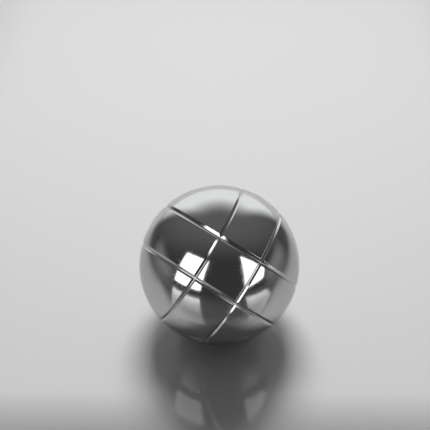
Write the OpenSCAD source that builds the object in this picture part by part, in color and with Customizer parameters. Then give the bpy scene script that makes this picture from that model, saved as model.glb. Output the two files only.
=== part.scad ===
// Petanque boule of the leisure kind: two pressed steel half shells filled with mortar,
// joined by a weld at the equator, ground true and cut with two crossing pairs of rings.
// Millimetres. Origin at the ball's centre, +Z along the half shells' common axis.

/* [Ball] */
// Outside diameter of the ground and plated ball
ball_d = 73; // [70.5:0.5:80]
// Thickness of the pressed steel wall
wall_t = 2.6; // [2:0.1:5]

/* [Weld] */
// Width of the weld across the outside of the ball
weld_w = 4.2; // [3:0.1:6]
// Height of the weld's straight sides below the ball's surface
weld_cap_h = 0.8; // [0.6:0.1:1.2]
// Opening between the two rims at the root of the weld
root_gap = 1.2; // [0.8:0.1:2]
// Height of the straight land that is left on each rim below its bevel
rim_land_h = 0.8; // [0.4:0.1:1.2]
// Width of the bead that runs through to the inside of the wall
bead_w = 3; // [2.4:0.1:4]
// Height of that bead above the inside of the wall
bead_h = 0.6; // [0.3:0.1:1.2]

/* [Rings] */
// Distance from the ball's centre to the plane of each ring
ring_offset = 10.2; // [6:0.1:14]
// Width of the narrow floor of each groove
floor_w = 0.2; // [0.15:0.05:0.4]
// Depth of the first pair's grooves below the ball's surface
first_depth = 0.56; // [0.4:0.02:0.6]
// How much shallower the second pair is, so that the first pair's floor runs on through a crossing
second_rise = 0.04; // [0.03:0.01:0.1]
// Slope of the long wall of the first pair's grooves, below the ball's surface
first_slope = 25; // [20:1:32]
// Slope of the long wall of the second pair's grooves
second_slope = 29; // [20:1:32]
// Slope of the short wall on the other side of every groove
short_slope = 35; // [33:1:45]
// Angle between the half shells' axis and the axis of the first pair of rings
rings_tilt = 51.5; // [0:0.5:90]
// Direction in which that first axis leans, counted from +X towards +Y
rings_turn = 48.5; // [-180:0.5:180]
// Turn of the second pair of rings about the axis of the first
rings_roll = -53.5; // [-180:0.5:180]

/* [Mortar] */
// Gap that the mortar leaves under the wall as it shrinks
mortar_gap = 0.15; // [0.05:0.05:0.4]
// Clear space raked out of the mortar round the weld's bead
mortar_relief = 1.8; // [0.8:0.1:4]

/* [Hidden] */
$fn = 120;
ARC_FN = 32;
ball_r = ball_d / 2;
inner_r = ball_r - wall_t;
mortar_r = inner_r - mortar_gap;
// How far a cutter or a cut plane runs past the ball
past = 1;
// Radius of the bead's arc, from its chord and its height
bead_r = (pow(bead_w / 2, 2) + pow(bead_h, 2)) / (2 * bead_h);
// Direction of a ring seen from the ball's centre, above the plane square to its axis
ring_angle = asin(ring_offset / ball_r);
// Where each ring's and each half shell's own circle starts, clear of the rings' crossings
ring_start = 15;
shell_start = 75;

// The quarter of a plane figure from which the upper half of the ball is turned
module upper_quarter() {
    intersection() {
        children();
        square(ball_r + past);
    }
}

// Section of one groove, from the wall nearer to the ball's middle to the wall farther from it
module groove_section(depth, near_slope, far_slope) {
    near_w = depth / tan(near_slope);
    far_w = depth / tan(far_slope);
    half_w = (near_w + floor_w + far_w) / 2;
    rotate(ring_angle) polygon([
        [ball_r - depth, near_w - half_w],
        [ball_r + past, -half_w - past / tan(near_slope)],
        [ball_r + past, half_w + past / tan(far_slope)],
        [ball_r - depth, half_w - far_w]
    ]);
}

// One ring of the first pair (0) or the second (1), on either side of the ball's centre (0 or 1).
// The tool's long side faces the same way in both rings of a pair.
module ring(pair, side) {
    depth = first_depth - pair * second_rise;
    long_slope = pair == 0 ? first_slope : second_slope;
    far_is_long = (pair + side) % 2 == 0;
    rotate([0, rings_tilt, rings_turn]) rotate([0, 0, rings_roll]) rotate([0, 90 * pair, 0])
        rotate([180 * side, 0, 0]) rotate([0, 0, ring_start])
            rotate_extrude() groove_section(depth,
                near_slope = far_is_long ? short_slope : long_slope,
                far_slope = far_is_long ? long_slope : short_slope);
}

// Cuts the four rings one after another into what it is given
module cut_rings(count = 4) {
    last = count - 1;
    if (count == 0) children();
    else difference() {
        cut_rings(last) children();
        ring(pair = floor(last / 2), side = last % 2);
    }
}

// Section of the weld: a straight-sided cap, a bevel down to the root and a bead inside
module weld_section() {
    land_r = inner_r + rim_land_h;
    root_r = inner_r - bead_h / 2;
    intersection() {
        circle(ball_r);
        polygon([
            [root_r, -root_gap / 2],
            [land_r, -root_gap / 2],
            [ball_r - weld_cap_h, -weld_w / 2],
            [ball_r + past, -weld_w / 2],
            [ball_r + past, weld_w / 2],
            [ball_r - weld_cap_h, weld_w / 2],
            [land_r, root_gap / 2],
            [root_r, root_gap / 2]
        ]);
    }
    intersection() {
        circle(inner_r);
        translate([inner_r - bead_h + bead_r, 0]) circle(bead_r, $fn = ARC_FN);
    }
}

// Section of a half shell, with its rim bevelled for the weld
module shell_section() {
    upper_quarter() difference() {
        circle(ball_r);
        circle(inner_r);
        weld_section();
    }
}

// Section of half the mortar, struck off flat and raked back round the weld's bead
module core_section() {
    upper_quarter() difference() {
        circle(mortar_r);
        translate([inner_r, 0]) circle(bead_w / 2 + mortar_relief, $fn = ARC_FN);
    }
}

module upper_shell() {
    color("silver") cut_rings() rotate([0, 0, shell_start]) rotate_extrude() shell_section();
}

module lower_shell() {
    color("silver") cut_rings() rotate([180, 0, shell_start]) rotate_extrude() shell_section();
}

module equator_weld() {
    color("gainsboro") cut_rings() rotate_extrude() weld_section();
}

module upper_core() {
    color("darkgray") rotate_extrude() core_section();
}

module lower_core() {
    color("darkgray") mirror([0, 0, 1]) rotate_extrude() core_section();
}

upper_shell();
lower_shell();
equator_weld();
upper_core();
lower_core();
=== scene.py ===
# Looks of a petanque boule: plated half shells, the ground weld between them and their mortar,
# shown on a pale studio floor. Sizes are in metres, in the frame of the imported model.
import math

import bmesh
import bpy
import numpy as np
from bpy.props import FloatProperty, FloatVectorProperty, IntProperty, PointerProperty
from mathutils import Euler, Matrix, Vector


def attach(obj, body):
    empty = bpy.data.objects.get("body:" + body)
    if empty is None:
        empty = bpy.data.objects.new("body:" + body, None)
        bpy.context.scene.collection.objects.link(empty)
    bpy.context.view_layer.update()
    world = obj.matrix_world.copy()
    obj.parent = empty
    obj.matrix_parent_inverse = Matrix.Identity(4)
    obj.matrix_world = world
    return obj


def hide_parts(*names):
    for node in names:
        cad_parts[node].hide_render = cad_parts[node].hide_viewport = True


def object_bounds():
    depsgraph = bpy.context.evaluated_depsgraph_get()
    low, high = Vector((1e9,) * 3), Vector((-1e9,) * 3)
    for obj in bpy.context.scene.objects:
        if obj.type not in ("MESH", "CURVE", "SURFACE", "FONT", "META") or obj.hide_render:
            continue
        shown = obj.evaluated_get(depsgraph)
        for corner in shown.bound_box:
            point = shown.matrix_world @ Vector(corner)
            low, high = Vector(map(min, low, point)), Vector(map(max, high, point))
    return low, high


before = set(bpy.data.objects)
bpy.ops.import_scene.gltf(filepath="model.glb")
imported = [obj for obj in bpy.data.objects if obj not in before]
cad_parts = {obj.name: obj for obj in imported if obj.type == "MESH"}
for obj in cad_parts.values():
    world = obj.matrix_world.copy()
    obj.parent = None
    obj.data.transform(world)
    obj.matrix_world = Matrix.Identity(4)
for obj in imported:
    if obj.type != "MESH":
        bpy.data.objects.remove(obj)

bl_info = {
    "name": "Petanque Boule",
    "version": (1, 0, 0),
    "blender": (4, 5, 0),
    "location": "View3D > Sidebar > Boule",
    "description": "Builds the plated shells of a petanque boule, its finishes and its studio",
    "category": "Add Mesh",
}

CAD_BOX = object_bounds()
BALL_RADIUS = max(CAD_BOX[1])
SHELLS = ("upper_shell", "lower_shell")
# Millimetres in a metre
MILLIMETRES = 1000

# Vertices nearer than this to the ball's surface belong to its skin
SKIN_TOLERANCE = 0.00005
# Vertices nearer than this to a cutting plane lie on it
CUT_TOLERANCE = 2e-6
# A groove has to lie lower than what is there by this much to count as the lower one
SAME_DEPTH = 1e-9
# Digits to which the places of a groove's lines are rounded, so that no two coincide
LINE_DIGITS = 8

# Steps across the rounding of each lip and each corner of the floor, and along each flat
LIP_STEPS = 4
CORNER_STEPS = 2
FLAT_STEPS = 3
# Steps up the inside of a half shell, and the angle above the equator at which they end
INSIDE_STEPS = 12
INSIDE_END = math.radians(86)
# Steps from the edge of the weld's bead to its crest
BEAD_STEPS = 6

# Fineness of the turning marks in the grooves, in radians of a wave for each millimetre
TURNING_MARKS = 62.0

# The softboxes' corners and the overhead lamp, as the ball sees them: the angle from the
# camera's side round to the right, and the angle above the horizon, in degrees
LEFT_BOX = ((-65, 41), (-20, 46), (-24, 4), (-61, 3))
RIGHT_BOX = ((44, 47), (69, 14), (62, 6), (34, 4))
LAMP_PLACE = (180, 60)
# Their distances from the ball, and the lamp's size and spread
BOX_DISTANCE = 0.9
LAMP_DISTANCE = 1.2
LAMP_SIZE = (0.5, 0.4)
LAMP_SPREAD = math.radians(80)
# How far the floor, and the cards that shade it, reach from the ball
FLOOR_REACH = 8
FLAG_REACH = 3

# Lens and sensor width in millimetres, half the photograph's width in pixels, and how many
# pixels right of its middle and below it the ball's centre lies
LENS = 73.3
SENSOR = 36
HALF_FRAME_PX = 215
BALL_RIGHT_PX = 4.3
BALL_BELOW_PX = 50


# Sizes and finishes that a user would change

def length(name, description, default):
    return FloatProperty(name=name, description=description, default=default,
                         subtype="DISTANCE", unit="LENGTH", precision=5)


def angle(name, description, degrees):
    return FloatProperty(name=name, description=description, default=math.radians(degrees),
                         subtype="ANGLE", unit="ROTATION")


def colour(name, description, default):
    return FloatVectorProperty(name=name, description=description, default=default,
                               size=3, subtype="COLOR", min=0, max=1)


def share(name, description, default):
    return FloatProperty(name=name, description=description, default=default,
                         subtype="FACTOR", min=0, max=1)


def brightness(name, description, default):
    return FloatProperty(name=name, description=description, default=default, min=0)


class BouleSizes(bpy.types.PropertyGroup):
    """Sizes of the steel skin"""

    ball_radius: length("Ball Radius", "Outside radius of the plated ball", BALL_RADIUS)
    wall: length("Wall", "Thickness of the pressed steel wall", 0.0026)
    weld_width: length("Weld Width", "Width of the weld across the outside", 0.0042)
    weld_cap: length("Weld Cap", "Height of the weld's straight sides", 0.0008)
    rim_land: length("Rim Land", "Straight land on each rim below its bevel", 0.0008)
    root_gap: length("Root Gap", "Opening between the two rims", 0.0012)
    bead_width: length("Bead Width", "Width of the weld's bead inside", 0.003)
    bead_height: length("Bead Height", "Height of the weld's bead inside", 0.0006)
    fineness: IntProperty(name="Fineness", description="Cuts across each sixth of the skin",
                          default=90, min=8, max=140)


class RingSizes(bpy.types.PropertyGroup):
    """Sizes and places of the four turned rings"""

    offset: length("Offset", "Distance from the ball's centre to each ring's plane", 0.0102)
    floor_width: length("Floor Width", "Width of the narrow groove floor", 0.0002)
    first_depth: length("First Depth", "Depth of the first pair of grooves", 0.00056)
    second_rise: length("Second Rise", "How much shallower the second pair is", 0.00004)
    first_slope: angle("First Slope", "Slope of the long walls of the first pair", 25)
    second_slope: angle("Second Slope", "Slope of the long walls of the second pair", 29)
    short_slope: angle("Short Slope", "Slope of the short wall of every groove", 35)
    lip_radius: length("Lip Radius", "Radius of the polished lips of a groove", 0.0003)
    tilt: angle("Tilt", "Lean of the first pair's axis away from +Z", 51.5)
    turn: angle("Turn", "Direction in which that axis leans, from +X", 48.5)
    roll: angle("Roll", "Turn of the second pair about the first pair's axis", -53.5)


class BouleFinish(bpy.types.PropertyGroup):
    """Colours and wear of the ball"""

    plating: colour("Plating", "Colour of the bright plating", (0.55, 0.555, 0.56))
    groove_tint: colour("Groove Tint", "Colour of the plating down in a groove",
                        (0.5, 0.5, 0.495))
    gloss: share("Roughness", "Roughness of clean plating", 0.08)
    wear: share("Wear", "Strength of hairlines, rubs and handling marks", 0.5)
    mortar: colour("Mortar", "Colour of the cement mortar inside", (0.33, 0.32, 0.30))


class StudioSetup(bpy.types.PropertyGroup):
    """Floor, lamps and camera"""

    floor: colour("Floor", "Colour of the pale floor", (0.75, 0.75, 0.745))
    backdrop: colour("Backdrop", "Colour of the pale wall behind the floor", (1.0, 1.0, 1.0))
    room: colour("Room", "Colour of the dim room in front", (0.055, 0.055, 0.056))
    ceiling: colour("Ceiling", "Colour of the dim ceiling above the ball", (0.16, 0.16, 0.162))
    wall_level: brightness("Wall Level", "Brightness of the pale wall", 1.3)
    side_level: brightness("Side Level", "Brightness of the low walls at the sides", 0.28)
    boxes: brightness("Softboxes", "Brightness of both softboxes", 2.9)
    fill: brightness("Overhead Fill", "Brightness of the overhead lamp", 3.8)
    lit_front: length("Lit Front", "How far in front of the ball the overhead light ends", 0.06)
    lit_side: length("Lit Side", "How far beside the ball the overhead light ends", 0.24)
    front_flag: length("Front Flag", "Height of the front flag over the floor", 0.09)
    side_flags: length("Side Flags", "Height of the side flags over the floor", 0.3)
    camera_distance: length("Camera Distance", "From the ball's centre to the camera", 0.4015)
    camera_turn: angle("Camera Turn", "Angle of the camera round the ball", 0.47)
    camera_height: angle("Camera Height", "Angle of the camera above the horizon", 42.9)


# Mesh helpers

def select_only(piece):
    bpy.ops.object.select_all(action="DESELECT")
    piece.select_set(True)
    bpy.context.view_layer.objects.active = piece


def start_editing(piece):
    select_only(piece)
    bpy.ops.object.mode_set(mode="EDIT")


def stop_editing():
    bpy.ops.object.mode_set(mode="OBJECT")


def cut(middle, normal, keep="both"):
    """Cuts everything with a plane, and clears one side of it if asked to."""
    bpy.ops.mesh.select_all(action="SELECT")
    bpy.ops.mesh.bisect(plane_co=middle, plane_no=normal, threshold=CUT_TOLERANCE,
                        clear_inner=keep == "outer", clear_outer=keep == "inner")


def select_open_rim(side=0):
    """Selects the mesh's open edges, or only those above (1) or below (-1) the equator."""
    bpy.ops.mesh.select_mode(type="EDGE")
    bpy.ops.mesh.select_all(action="DESELECT")
    form = bmesh.from_edit_mesh(bpy.context.object.data)
    for edge in form.edges:
        height = edge.verts[0].co.z + edge.verts[1].co.z
        if edge.is_boundary and side * height >= 0:
            edge.select_set(True)
    bmesh.update_edit_mesh(bpy.context.object.data)


def extrude_along(section, side):
    """Extrudes the selected rim through a turned section, above (1) or below (-1) the equator."""
    for (start_r, start_z), (end_r, end_z) in zip(section, section[1:]):
        bpy.ops.mesh.extrude_region()
        grow = end_r / start_r
        bpy.ops.transform.resize(value=(grow, grow, 1), center_override=(0, 0, 0))
        bpy.ops.transform.translate(value=(0, 0, side * (end_z - start_z)))


def arc_points(radius, first, last, count):
    """Points of an arc about the ball's centre, as distance from the axis and height."""
    turns = np.linspace(first, last, count + 1)[1:]
    return [(radius * math.cos(t), radius * math.sin(t)) for t in turns]


def read(items, name, kind, width=1):
    """One property of every vertex, corner or face of a mesh, as an array."""
    values = np.empty(len(items) * width, kind)
    items.foreach_get(name, values)
    return values if width == 1 else values.reshape(-1, width)


# The turned rings

def ring_cuts(sizes, rings):
    """The axis of each ring, pointing to its own side of the ball, and its groove."""
    lean = Euler((0, rings.tilt, rings.turn)).to_matrix()
    first = lean @ Vector((0, 0, 1))
    second = lean @ Vector((math.cos(rings.roll), math.sin(rings.roll), 0))
    cuts = []
    for pair, axis in enumerate((first, second)):
        long_slope = (rings.first_slope, rings.second_slope)[pair]
        for side in (0, 1):
            slopes = (rings.short_slope, long_slope)
            if (pair + side) % 2:
                slopes = slopes[::-1]
            depth = rings.first_depth - pair * rings.second_rise
            cuts.append(((1 - 2 * side) * axis, GrooveSection(sizes, rings, depth, *slopes)))
    return cuts


class GrooveSection:
    """A long and a short wall with a narrow floor between them, cut into a ball."""

    def __init__(self, sizes, rings, depth, near_slope, far_slope):
        self.ball = sizes.ball_radius
        self.middle = math.asin(rings.offset / self.ball)
        near, far = depth / math.tan(near_slope), depth / math.tan(far_slope)
        half = (near + rings.floor_width + far) / 2
        # Each corner's place, how far its rounding reaches, and how much steeper it turns
        self.corners = (
            (-half, rings.lip_radius * math.tan(near_slope / 2), -math.tan(near_slope)),
            (near - half, rings.floor_width / 4, math.tan(near_slope)),
            (half - far, rings.floor_width / 4, math.tan(far_slope)),
            (half, rings.lip_radius * math.tan(far_slope / 2), -math.tan(far_slope)))

    def lines(self):
        """Turns from the groove's middle at which the skin gets an edge."""
        ends = [(at - reach, at + reach) for at, reach, bend in self.corners]
        counts = (LIP_STEPS, CORNER_STEPS, CORNER_STEPS, LIP_STEPS)
        steps = []
        for (start, end), count in zip(ends, counts):
            steps += list(np.linspace(start, end, count + 1))
        for (_, start), (end, _) in zip(ends, ends[1:]):
            steps += list(np.linspace(start, end, FLAT_STEPS + 1)[1:-1])
        return np.unique(np.round(steps, LINE_DIGITS)) / self.ball

    def drop(self, place):
        """Depth below the ball, and slope, at a distance across the groove."""
        height, slope = np.zeros(len(place)), np.zeros(len(place))
        for at, reach, bend in self.corners:
            share_past = np.clip((place - at + reach) / (2 * reach), 0, 1)
            height += bend * (reach * share_past ** 2 + np.clip(place - at - reach, 0, None))
            slope += bend * share_past
        return -height, slope

    def sink(self, points, axis):
        """Distance from the centre, normal and turn from the groove's middle of each point."""
        straight = points / np.linalg.norm(points, axis=1)[:, None]
        turn = np.arcsin(np.clip(straight @ axis, -1, 1)) - self.middle
        across = axis - (straight @ axis)[:, None] * straight
        across /= np.linalg.norm(across, axis=1)[:, None]
        drop, slope = self.drop(turn * self.ball)
        normal = straight - slope[:, None] * across
        normal /= np.linalg.norm(normal, axis=1)[:, None]
        return self.ball - drop, normal, turn


def mark_rings(sizes, rings):
    """Cuts an edge into the skin along every line of every ring's groove."""
    for axis, section in ring_cuts(sizes, rings):
        for turn in section.lines():
            height = section.ball * math.sin(section.middle + turn)
            cut(axis * height, axis)


def sink_rings(piece, sizes, rings):
    """Lowers the marked skin to the grooves, with exact normals and two layers for its finish."""
    mesh = piece.data
    points = read(mesh.vertices, "co", np.float32, 3).astype(float)
    reach = np.linalg.norm(points, axis=1)
    skin = reach > sizes.ball_radius - SKIN_TOLERANCE
    outer = points[skin]

    distance = np.full(len(outer), sizes.ball_radius)
    normal = outer / reach[skin][:, None]
    across = np.zeros(len(outer))
    for axis, section in ring_cuts(sizes, rings):
        new_distance, new_normal, turn = section.sink(outer, np.array(axis))
        lower = new_distance < distance - SAME_DEPTH
        distance[lower], normal[lower] = new_distance[lower], new_normal[lower]
        across[lower] = turn[lower] * sizes.ball_radius * MILLIMETRES
    points[skin] = outer / reach[skin][:, None] * distance[:, None]
    mesh.vertices.foreach_set("co", points.astype(np.float32).ravel())

    sunk, side = np.zeros(len(points)), np.zeros(len(points))
    sunk[skin] = (sizes.ball_radius - distance) / rings.first_depth
    side[skin] = across
    for name, values in (("groove_depth", sunk), ("groove_across", side)):
        layer = mesh.attributes.new(name, "FLOAT", "POINT")
        layer.data.foreach_set("value", values.astype(np.float32))

    exact = np.zeros_like(points)
    exact[skin] = normal
    set_normals(piece, skin, exact)


def set_normals(piece, skin, exact):
    """Gives the faces of the skin their exact normals, and leaves all other faces flat."""
    mesh = piece.data
    mesh.update()
    select_only(piece)
    bpy.ops.object.shade_smooth()
    corner = read(mesh.loops, "vertex_index", np.int32)
    starts = read(mesh.polygons, "loop_start", np.int32)
    totals = read(mesh.polygons, "loop_total", np.int32)
    flat = read(mesh.polygons, "normal", np.float32, 3)
    face_of = np.repeat(np.arange(len(totals)), totals)
    on_skin = np.minimum.reduceat(skin[corner].astype(int), starts).astype(bool)[face_of]
    corner_normals = flat[face_of].astype(float)
    corner_normals[on_skin] = exact[corner][on_skin]
    mesh.normals_split_custom_set(corner_normals.astype(np.float32).tolist())
    mesh.update()


def ball_skin(sizes, rings):
    """The whole skin as fine even faces, with an edge along every line of the grooves."""
    made = bpy.data.meshes.get("ball_skin")
    if made:
        return made
    bpy.ops.object.select_all(action="DESELECT")
    bpy.ops.mesh.primitive_cube_add(size=sizes.ball_radius, location=(0, 0, 0))
    ball = bpy.context.object
    start_editing(ball)
    bpy.ops.mesh.subdivide(number_cuts=sizes.fineness)
    bpy.ops.transform.tosphere(value=1, center_override=(0, 0, 0))
    stop_editing()
    grow = sizes.ball_radius / ball.data.vertices[0].co.length
    start_editing(ball)
    bpy.ops.mesh.select_all(action="SELECT")
    bpy.ops.transform.resize(value=(grow, grow, grow), center_override=(0, 0, 0))
    mark_rings(sizes, rings)
    stop_editing()
    made = ball.data
    made.name = "ball_skin"
    made.use_fake_user = True
    bpy.data.objects.remove(ball)
    return made


def new_skin(name, sizes, rings):
    """A copy of the whole skin, ready to be cut to a piece."""
    piece = bpy.data.objects.new(name, ball_skin(sizes, rings).copy())
    piece.data.name = name
    piece.data.use_fake_user = False
    bpy.context.collection.objects.link(piece)
    return piece


def joint_section(sizes):
    """Points of the joint of shell and weld, from the outside to the inside of the wall."""
    half, root = sizes.weld_width / 2, sizes.root_gap / 2
    inner = sizes.ball_radius - sizes.wall
    return [(math.sqrt(sizes.ball_radius ** 2 - half ** 2), half),
            (sizes.ball_radius - sizes.weld_cap, half),
            (inner + sizes.rim_land, root),
            (math.sqrt(inner ** 2 - root ** 2), root)]


def finish_skin(piece, node, sizes, rings, finish):
    """Closes the edited skin, sinks its grooves and stands it for its CAD node."""
    bpy.ops.mesh.select_all(action="SELECT")
    bpy.ops.mesh.normals_make_consistent(inside=False)
    bpy.ops.mesh.quads_convert_to_tris()
    stop_editing()
    sink_rings(piece, sizes, rings)
    piece.data.materials.append(finish)
    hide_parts(node)
    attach(piece, "root")


# Shader helpers

class Shade:
    """One socket of a material's nodes, on which plain arithmetic adds Math nodes."""

    def __init__(self, tree, socket=None):
        self.tree, self.socket = tree, socket

    def add(self, kind, settings=None, sockets=None, output=0):
        """Adds a node, sets it up, feeds its sockets and gives back one of its outputs."""
        node = self.tree.nodes.new(kind)
        for name, value in (settings or {}).items():
            setattr(node, name, value)
        for name, value in (sockets or {}).items():
            if isinstance(value, Shade):
                self.tree.links.new(value.socket, node.inputs[name])
            else:
                node.inputs[name].default_value = value
        return Shade(self.tree, node.outputs[output] if node.outputs else None)

    def maths(self, operation, first, second=0.0):
        return self.add("ShaderNodeMath", {"operation": operation}, {0: first, 1: second})

    def __add__(self, other):
        return self.maths("ADD", self, other)

    __radd__ = __add__

    def __sub__(self, other):
        return self.maths("SUBTRACT", self, other)

    def __rsub__(self, other):
        return self.maths("SUBTRACT", other, self)

    def __mul__(self, other):
        return self.maths("MULTIPLY", self, other)

    __rmul__ = __mul__

    def between(self, low, high):
        """0 below low, 1 above high and a soft step between them."""
        return self.add("ShaderNodeMapRange", {"interpolation_type": "SMOOTHSTEP"},
                        {"Value": self, "From Min": low, "From Max": high})

    def noise(self, scale, detail, roughness):
        """Cloudy noise laid out on this place."""
        return self.add("ShaderNodeTexNoise", sockets={
            "Vector": self, "Scale": scale, "Detail": detail, "Roughness": roughness})

    def mix(self, factor, first, second):
        """The first colour where the factor is 0, the second where it is 1."""
        first, second = (c if isinstance(c, Shade) else whole_colour(c) for c in (first, second))
        return self.add("ShaderNodeMix", {"data_type": "RGBA"},
                        {0: factor, 6: first, 7: second}, output=2)


def new_finish(name):
    """A material with one principled surface, its shader node and a helper for its tree."""
    finish = bpy.data.materials.new(name)
    finish.use_nodes = True
    surface = finish.node_tree.nodes["Principled BSDF"]
    return finish, surface, Shade(finish.node_tree)


def feed(surface, socket, value):
    """Links a shade to a socket of the surface, or sets a plain value on it."""
    if isinstance(value, Shade):
        value.tree.links.new(value.socket, surface.inputs[socket])
    else:
        surface.inputs[socket].default_value = value


def whole_colour(value):
    return (*value, 1.0)


def plated_steel(name, look):
    """Bright plating: hairlines, rubs, faint waves, and turning marks and darker, duller patches
    in the grooves.
    """
    finish, surface, shade = new_finish(name)
    place = shade.add("ShaderNodeTexCoord", output="Object")

    def hairlines(turn, fineness, stretch):
        """Long thin scratches that all run one way."""
        laid = place.add("ShaderNodeMapping", sockets={
            "Vector": place, "Rotation": turn, "Scale": (fineness, fineness, stretch)})
        return laid.noise(1.0, detail=1.0, roughness=0.4).between(0.67, 0.72)

    scratches = (hairlines((0.4, 1.1, 0.2), 2600, 70) + hairlines((1.3, 0.3, 2.1), 3100, 85)
                 + hairlines((2.2, 0.9, 1.2), 2300, 55) + hairlines((0.9, 2.5, 0.7), 2800, 75))
    scratched_areas = place.noise(70, detail=3.0, roughness=0.6).between(0.42, 0.66)
    scratches = scratches * (0.25 + 0.75 * scratched_areas)
    rubs = place.noise(46, detail=4.0, roughness=0.62).between(0.54, 0.76)
    smudges = place.noise(150, detail=5.0, roughness=0.7).between(0.4, 0.8)
    peel = place.noise(620, detail=2.0, roughness=0.5)
    waves = place.noise(95, detail=1.0, roughness=0.4)

    depth = shade.add("ShaderNodeAttribute", {"attribute_name": "groove_depth"}, output="Fac")
    across = shade.add("ShaderNodeAttribute", {"attribute_name": "groove_across"}, output="Fac")
    in_groove = depth.between(0.12, 0.5)
    turning = shade.maths("SINE", across * TURNING_MARKS) * in_groove
    # The plating is a little darker and duller down in the grooves, and darker and duller still in
    # patches there
    groove_patches = in_groove * place.noise(900, detail=4.0, roughness=0.6).between(0.35, 0.75)

    tint = shade.mix(in_groove * 0.55 + groove_patches * 0.45, look.plating, look.groove_tint)
    dull = (look.gloss + 0.07 * look.wear * smudges + 0.12 * look.wear * rubs
            + 0.3 * look.wear * scratches + 0.03 * in_groove + 0.1 * groove_patches)
    height = waves * 2.5 + peel * 0.1 + turning * 0.012 - scratches * (0.12 * look.wear)
    bump = shade.add("ShaderNodeBump", sockets={
        "Strength": 1.0, "Distance": 0.00001, "Height": height})
    feed(surface, "Base Color", tint)
    feed(surface, "Metallic", 1.0)
    feed(surface, "Specular Tint", (0.8, 0.8, 0.8, 1.0))
    feed(surface, "Roughness", dull)
    feed(surface, "Normal", bump)
    return finish


def cement_mortar(name, look):
    """Grey mortar with sand grains and small air holes."""
    finish, surface, shade = new_finish(name)
    place = shade.add("ShaderNodeTexCoord", output="Object")
    sand = place.noise(1400.0, detail=4.0, roughness=0.7)
    patches = place.noise(90.0, detail=3.0, roughness=0.5)
    holes = place.add("ShaderNodeTexVoronoi", sockets={"Vector": place, "Scale": 420.0})
    pits = 1 - holes.between(0.1, 0.22)
    pale = tuple(min(1, c * 1.35) for c in look.mortar)
    tint = shade.mix((sand * 0.6 + patches * 0.4).between(0.3, 0.7), look.mortar, pale)
    bump = shade.add("ShaderNodeBump", sockets={
        "Strength": 0.8, "Distance": 0.0002, "Height": sand - pits})
    feed(surface, "Base Color", tint)
    feed(surface, "Roughness", 0.82 + 0.12 * sand)
    feed(surface, "Normal", bump)
    return finish


def shared_finish(name, maker, look):
    """The finish of that name, made once and then used again."""
    return bpy.data.materials.get(name) or maker(name, look)


# Operators

class BOULE_OT_half_shells(bpy.types.Operator):
    """Build the two half shells, each with its bevelled rim and its share of the four rings"""

    bl_idname = "boule.half_shells"
    bl_label = "Half Shells"
    bl_options = {"REGISTER", "UNDO"}

    def execute(self, context):
        sizes, rings = context.scene.boule_sizes, context.scene.boule_rings
        finish = shared_finish("bright_plating", plated_steel, context.scene.boule_finish)
        half, inner = sizes.weld_width / 2, sizes.ball_radius - sizes.wall
        foot = math.asin(sizes.root_gap / 2 / inner)
        section = joint_section(sizes) + arc_points(inner, foot, INSIDE_END, INSIDE_STEPS)
        for node, side in zip(SHELLS, (1, -1)):
            piece = new_skin(node + "_skin", sizes, rings)
            start_editing(piece)
            cut((0, 0, side * half), (0, 0, side), keep="outer")
            select_open_rim()
            extrude_along(section, side)
            bpy.ops.mesh.edge_face_add()
            finish_skin(piece, node, sizes, rings, finish)
        return {"FINISHED"}


class BOULE_OT_equator_weld(bpy.types.Operator):
    """Build the weld, ground flush outside, with its root and its bead inside"""

    bl_idname = "boule.equator_weld"
    bl_label = "Equator Weld"
    bl_options = {"REGISTER", "UNDO"}

    def execute(self, context):
        sizes, rings = context.scene.boule_sizes, context.scene.boule_rings
        finish = shared_finish("bright_plating", plated_steel, context.scene.boule_finish)
        half, bead = sizes.weld_width / 2, sizes.bead_width / 2
        inner = sizes.ball_radius - sizes.wall
        section = joint_section(sizes) + [(math.sqrt(inner ** 2 - bead ** 2), bead)]
        section += [(inner - sizes.bead_height * (1 - (z / bead) ** 2), z)
                    for z in np.linspace(bead, 0, BEAD_STEPS + 1)[1:-1]]
        piece = new_skin("equator_weld_skin", sizes, rings)
        start_editing(piece)
        for side in (1, -1):
            cut((0, 0, side * half), (0, 0, side), keep="inner")
        for side in (1, -1):
            select_open_rim(side)
            extrude_along(section, side)
        select_open_rim()
        bpy.ops.mesh.bridge_edge_loops()
        finish_skin(piece, "equator_weld", sizes, rings, finish)
        return {"FINISHED"}


class BOULE_OT_mortar_cores(bpy.types.Operator):
    """Give the two mortar cores inside the shells their rough grey finish"""

    bl_idname = "boule.mortar_cores"
    bl_label = "Mortar Cores"
    bl_options = {"REGISTER", "UNDO"}

    def execute(self, context):
        finish = shared_finish("grey_mortar", cement_mortar, context.scene.boule_finish)
        for node in ("upper_core", "lower_core"):
            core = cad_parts[node]
            core.data.materials.clear()
            core.data.materials.append(finish)
        return {"FINISHED"}


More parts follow.
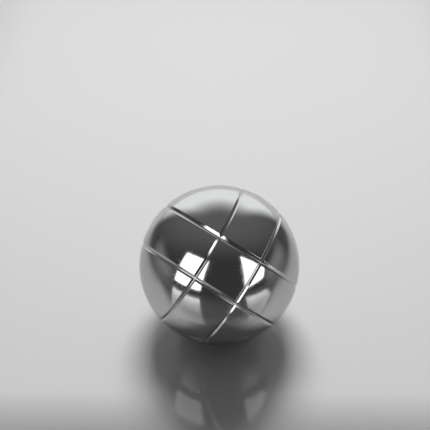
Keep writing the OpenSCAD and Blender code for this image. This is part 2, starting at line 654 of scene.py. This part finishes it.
class BOULE_OT_studio(bpy.types.Operator):
    """Set up the pale floor, the dim room with its pale wall, the softboxes and the camera"""

    bl_idname = "boule.studio"
    bl_label = "Studio"
    bl_options = {"REGISTER", "UNDO"}

    def execute(self, context):
        studio = context.scene.boule_studio
        radius = context.scene.boule_sizes.ball_radius
        self.floor(studio, radius)
        self.room(context, studio)
        self.softbox("left_softbox", studio.boxes, LEFT_BOX)
        self.softbox("right_softbox", studio.boxes, RIGHT_BOX)
        self.overhead_fill(studio)
        self.flags(studio, radius)
        self.camera(context, studio)
        context.scene.view_settings.view_transform = "Standard"
        return {"FINISHED"}

    def floor(self, studio, radius):
        """A pale floor with fine grain under a clear coat."""
        bpy.ops.object.select_all(action="DESELECT")
        bpy.ops.mesh.primitive_circle_add(vertices=96, radius=FLOOR_REACH, fill_type="NGON",
                                          location=(0, 0, -radius))
        floor = bpy.context.object
        floor.name = "studio_floor"
        bpy.ops.object.transform_apply(location=True)
        finish, surface, shade = new_finish("pale_floor")
        place = shade.add("ShaderNodeTexCoord", output="Object")
        grain = place.noise(900.0, detail=2.0, roughness=0.5)
        bump = shade.add("ShaderNodeBump", sockets={
            "Strength": 0.1, "Distance": 0.00005, "Height": grain})
        feed(surface, "Base Color", whole_colour(studio.floor))
        feed(surface, "Roughness", 0.5)
        feed(surface, "Coat Weight", 1.0)
        feed(surface, "Coat Roughness", 0.1)
        feed(surface, "Coat IOR", 1.6)
        feed(surface, "Normal", bump)
        floor.data.materials.append(finish)

    def room(self, context, studio):
        """A pale wall behind the ball, low walls at its sides, and a dim room all round."""
        world = bpy.data.worlds.new("studio_room")
        context.scene.world = world
        world.use_nodes = True
        shade = Shade(world.node_tree)
        way = shade.add("ShaderNodeTexCoord", output="Generated")
        right, back, up = (way.add("ShaderNodeSeparateXYZ", sockets={0: way}, output=part)
                           for part in "XYZ")
        aside = shade.maths("ABSOLUTE", right)
        # The pale wall fades out high up and round towards the sides
        behind = (1 - up).between(0.1, 0.62) * (back - aside * 1.2).between(-0.15, 0.3)
        # The low walls end a little above the horizon and reach a short way forwards and back
        low = (0.2 - up).between(-0.12, 0.08) * aside.between(0.86, 1.0)
        # The dim room is a little paler above and behind
        dim = shade.mix((back * 0.8 + up).between(0.1, 1.1), studio.room, studio.ceiling)
        sides = tuple(studio.side_level * c for c in studio.backdrop)
        pale = tuple(studio.wall_level * c for c in studio.backdrop)
        tint = shade.mix(behind, shade.mix(low, dim, sides), pale)
        light = world.node_tree.nodes["Background"]
        feed(light, "Color", tint)

    def softbox(self, name, level, corners):
        """A flat lit panel whose corners the ball sees in those directions."""
        ways = [self.way(*corner) for corner in corners]
        middle = sum(ways, Vector()).normalized()
        panel = bpy.data.meshes.new(name)
        panel.from_pydata([BOX_DISTANCE * way / way.dot(middle) for way in ways], [],
                          [tuple(range(len(ways)))])
        box = bpy.data.objects.new(name, panel)
        bpy.context.collection.objects.link(box)
        lit = bpy.data.materials.new(name)
        lit.use_nodes = True
        lit.node_tree.nodes.clear()
        shade = Shade(lit.node_tree)
        glow = shade.add("ShaderNodeEmission", sockets={"Strength": level})
        shade.add("ShaderNodeOutputMaterial", sockets={"Surface": glow})
        panel.materials.append(lit)
        box.visible_camera = False
        box.visible_diffuse = False

    def way(self, azimuth, height):
        """Direction from the ball, counted from the camera's side to the right, in degrees."""
        turn, lift = math.radians(azimuth), math.radians(height)
        return Vector((math.sin(turn) * math.cos(lift), -math.cos(turn) * math.cos(lift),
                       math.sin(lift)))

    def overhead_fill(self, studio):
        """A wide soft lamp above and behind, which lights the floor and stays off the plating."""
        way = self.way(*LAMP_PLACE)
        bpy.ops.object.light_add(type="AREA", location=way * LAMP_DISTANCE)
        lamp = bpy.context.object
        lamp.name = "overhead_fill"
        lamp.rotation_euler = way.to_track_quat("Z", "Y").to_euler()
        lamp.data.shape = "RECTANGLE"
        lamp.data.size, lamp.data.size_y = LAMP_SIZE
        lamp.data.spread = LAMP_SPREAD
        lamp.data.energy = studio.fill * math.pi * lamp.data.size * lamp.data.size_y
        lamp.visible_glossy = False
        lamp.visible_camera = False

    def flags(self, studio, radius):
        """Cards out of sight that end the overhead light in front of the ball and beside it."""
        lamp = self.way(*LAMP_PLACE)
        low, high = studio.front_flag, studio.side_flags
        everywhere = (-FLAG_REACH, FLAG_REACH)
        # The edges lie where the lamp's rays to the ends of the lit floor pass the cards
        front = low * lamp.y / lamp.z - studio.lit_front
        side = studio.lit_side * (1 - high / (LAMP_DISTANCE * lamp.z + radius))
        self.flag("front_flag", low - radius, everywhere, (-FLAG_REACH, front))
        self.flag("left_flag", high - radius, (-FLAG_REACH, -side), everywhere)
        self.flag("right_flag", high - radius, (side, FLAG_REACH), everywhere)

    def flag(self, name, level, across, along):
        """One level card, which only the lamp's own rays meet."""
        (left, right), (near, far) = across, along
        card = bpy.data.meshes.new(name)
        card.from_pydata([(left, near, level), (right, near, level), (right, far, level),
                          (left, far, level)], [], [(0, 1, 2, 3)])
        flag = bpy.data.objects.new(name, card)
        bpy.context.collection.objects.link(flag)
        for rays in ("camera", "diffuse", "glossy", "transmission", "volume_scatter"):
            setattr(flag, "visible_" + rays, False)

    def camera(self, context, studio):
        """Places the camera so that the ball lies where the photograph has it."""
        way = self.way(math.degrees(studio.camera_turn), math.degrees(studio.camera_height))
        bpy.ops.object.camera_add(location=way * studio.camera_distance)
        camera = bpy.context.object
        camera.name = "camera"
        camera.data.sensor_width = SENSOR
        camera.data.lens = LENS
        camera.data.clip_start, camera.data.clip_end = 0.01, 50
        half_frame = camera.data.sensor_width / 2 / camera.data.lens
        aim = way.to_track_quat("Z", "Y")
        turn = math.atan(BALL_RIGHT_PX / HALF_FRAME_PX * half_frame)
        drop = math.atan(BALL_BELOW_PX / HALF_FRAME_PX * half_frame)
        camera.rotation_euler = (aim @ Euler((drop, turn, 0)).to_quaternion()).to_euler()
        context.scene.camera = camera


class BOULE_PT_panel(bpy.types.Panel):
    """The boule's pieces, in the order in which they are built"""

    bl_label = "Petanque Boule"
    bl_idname = "BOULE_PT_panel"
    bl_space_type = "VIEW_3D"
    bl_region_type = "UI"
    bl_category = "Boule"

    def draw(self, context):
        for group in (context.scene.boule_sizes, context.scene.boule_rings,
                      context.scene.boule_finish, context.scene.boule_studio):
            box = self.layout.box()
            for name in group.bl_rna.properties.keys():
                if name not in ("rna_type", "name"):
                    box.prop(group, name)
        for operator in OPERATORS:
            self.layout.operator(operator.bl_idname)


GROUPS = {"boule_sizes": BouleSizes, "boule_rings": RingSizes,
          "boule_finish": BouleFinish, "boule_studio": StudioSetup}
OPERATORS = (BOULE_OT_half_shells, BOULE_OT_equator_weld, BOULE_OT_mortar_cores,
             BOULE_OT_studio)


def register():
    for item in (*GROUPS.values(), *OPERATORS, BOULE_PT_panel):
        bpy.utils.register_class(item)
    for name, group in GROUPS.items():
        setattr(bpy.types.Scene, name, PointerProperty(type=group))


def unregister():
    for name in GROUPS:
        delattr(bpy.types.Scene, name)
    for item in (BOULE_PT_panel, *reversed(OPERATORS), *reversed(list(GROUPS.values()))):
        bpy.utils.unregister_class(item)


def main():
    register()
    bpy.ops.boule.half_shells()
    bpy.ops.boule.equator_weld()
    bpy.ops.boule.mortar_cores()
    bpy.ops.boule.studio()


if __name__ == "__main__":
    main()
